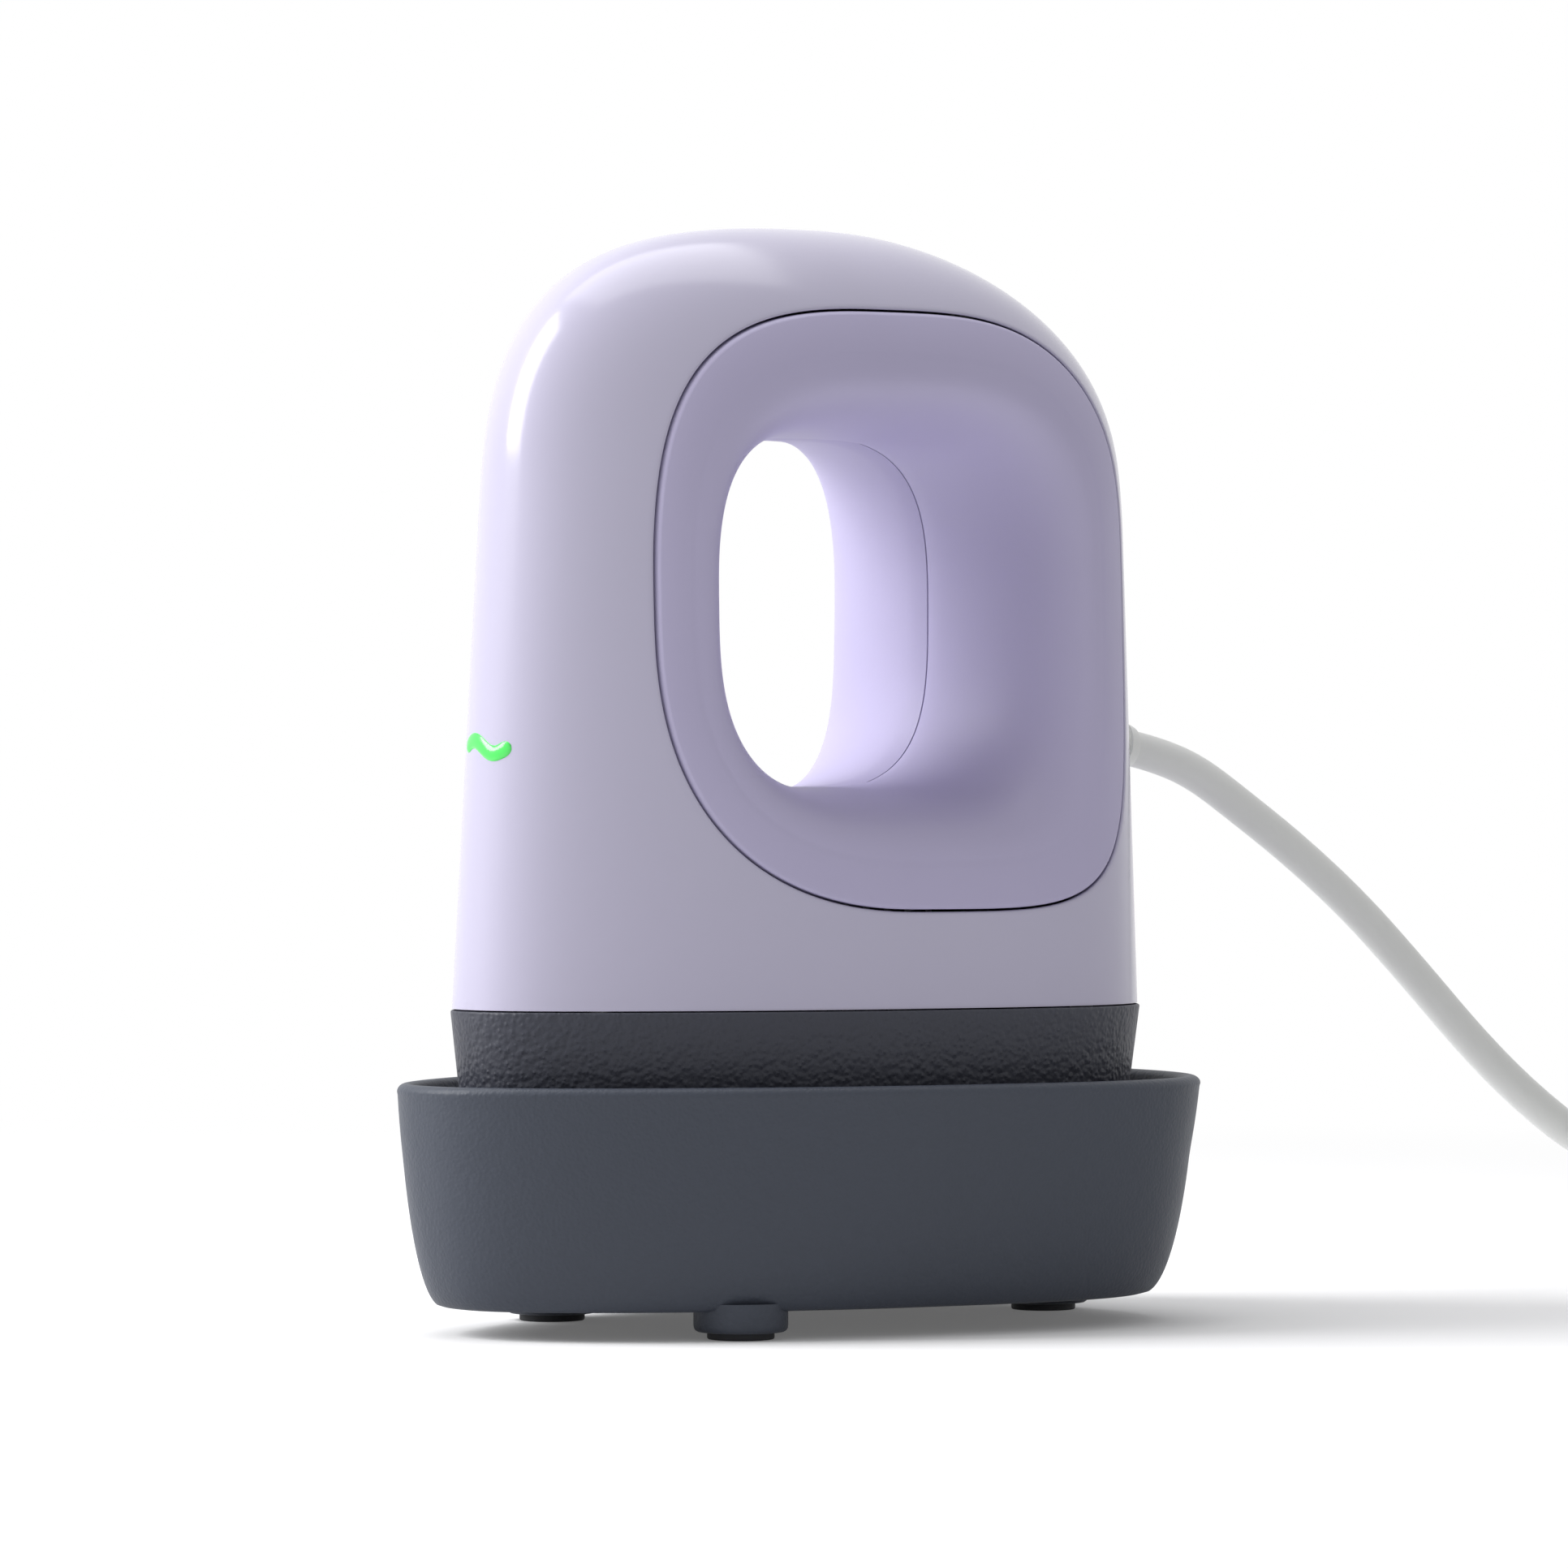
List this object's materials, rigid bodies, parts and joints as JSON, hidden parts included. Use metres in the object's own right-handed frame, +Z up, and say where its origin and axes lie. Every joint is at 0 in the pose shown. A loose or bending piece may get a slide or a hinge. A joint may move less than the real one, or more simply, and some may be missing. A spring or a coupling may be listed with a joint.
{
  "type": "mini handheld heat press",
  "caption": "Small handheld heat press with an arched casing, a see-through side grip, a green nose light and a grey cord, standing in its open safety base.",
  "frame": {"origin": "on the floor, under the middle of the base's outline", "axes": "+Z up, +X to the rear where the cord leaves, -Y to the right side panel"},
  "size_m": [0.2539, 0.1166, 0.1399],
  "materials": {
    "shell_gloss": "polished",
    "panel_matte": "fine satin",
    "collar_plastic": "leather grain",
    "base_plastic": "fine texture",
    "dark_plastic": "matte",
    "light_green": "polished",
    "cord_grey": "satin",
    "rubber": "matte",
    "silicone": "matte",
    "plate_metal": "satin",
    "element": "matte",
    "steel": "brushed",
    "insulation": "felt",
    "brass": "satin",
    "wire_sleeve": "satin",
    "board_green": "satin",
    "winding": "satin",
    "can_metal": "satin",
    "terminal_green": "satin",
    "pin_metal": "polished"
  },
  "bodies": {
    "base": {"base_tray": "base_plastic", "base_plate": "dark_plastic", "foot_pads": "rubber", "rest_pads": "silicone", "cord_coil": "cord_grey", "cord_tail": "cord_grey", "plug_body": "cord_grey", "plug_pins": "pin_metal"},
    "press": {"heat_plate": "plate_metal", "heating_element": "element", "element_clamp": "steel", "insulation_pad": "insulation", "heat_shield": "steel", "standoffs": "brass", "plate_screws": "steel", "shield_screws": "steel", "thermal_fuse": "steel", "thermistor": "element", "heater_wires": "wire_sleeve", "collar": "collar_plastic", "outer_shell": "shell_gloss", "right_side_panel": "panel_matte", "left_side_panel": "panel_matte", "shell_screws": "steel", "indicator_lens": "light_green", "led_board": "board_green", "indicator_leds": "light_green", "button_switch": "dark_plastic", "button_board": "board_green", "control_board": "board_green", "board_screws": "steel", "transformer": "winding", "capacitor": "can_metal", "relay": "dark_plastic", "triac": "dark_plastic", "heat_sink": "plate_metal", "terminal_block": "terminal_green", "microcontroller": "dark_plastic", "strain_relief": "cord_grey", "cord_inner_end": "cord_grey", "cord_clamp": "dark_plastic", "clamp_screws": "steel", "live_wires": "wire_sleeve", "power_cord": "cord_grey"},
    "button": {"power_button": "panel_matte"}
  },
  "joints": [
    {"name": "press_lift", "type": "slide", "parent": "base", "child": "press", "axis": [0, 0, 1], "range_m": [0, 0.06]},
    {"name": "power_button_press", "type": "slide", "parent": "press", "child": "button", "axis": [-1, 0, 0], "range_m": [0, 0.0008], "stiffness_N_per_m": 800}
  ]
}
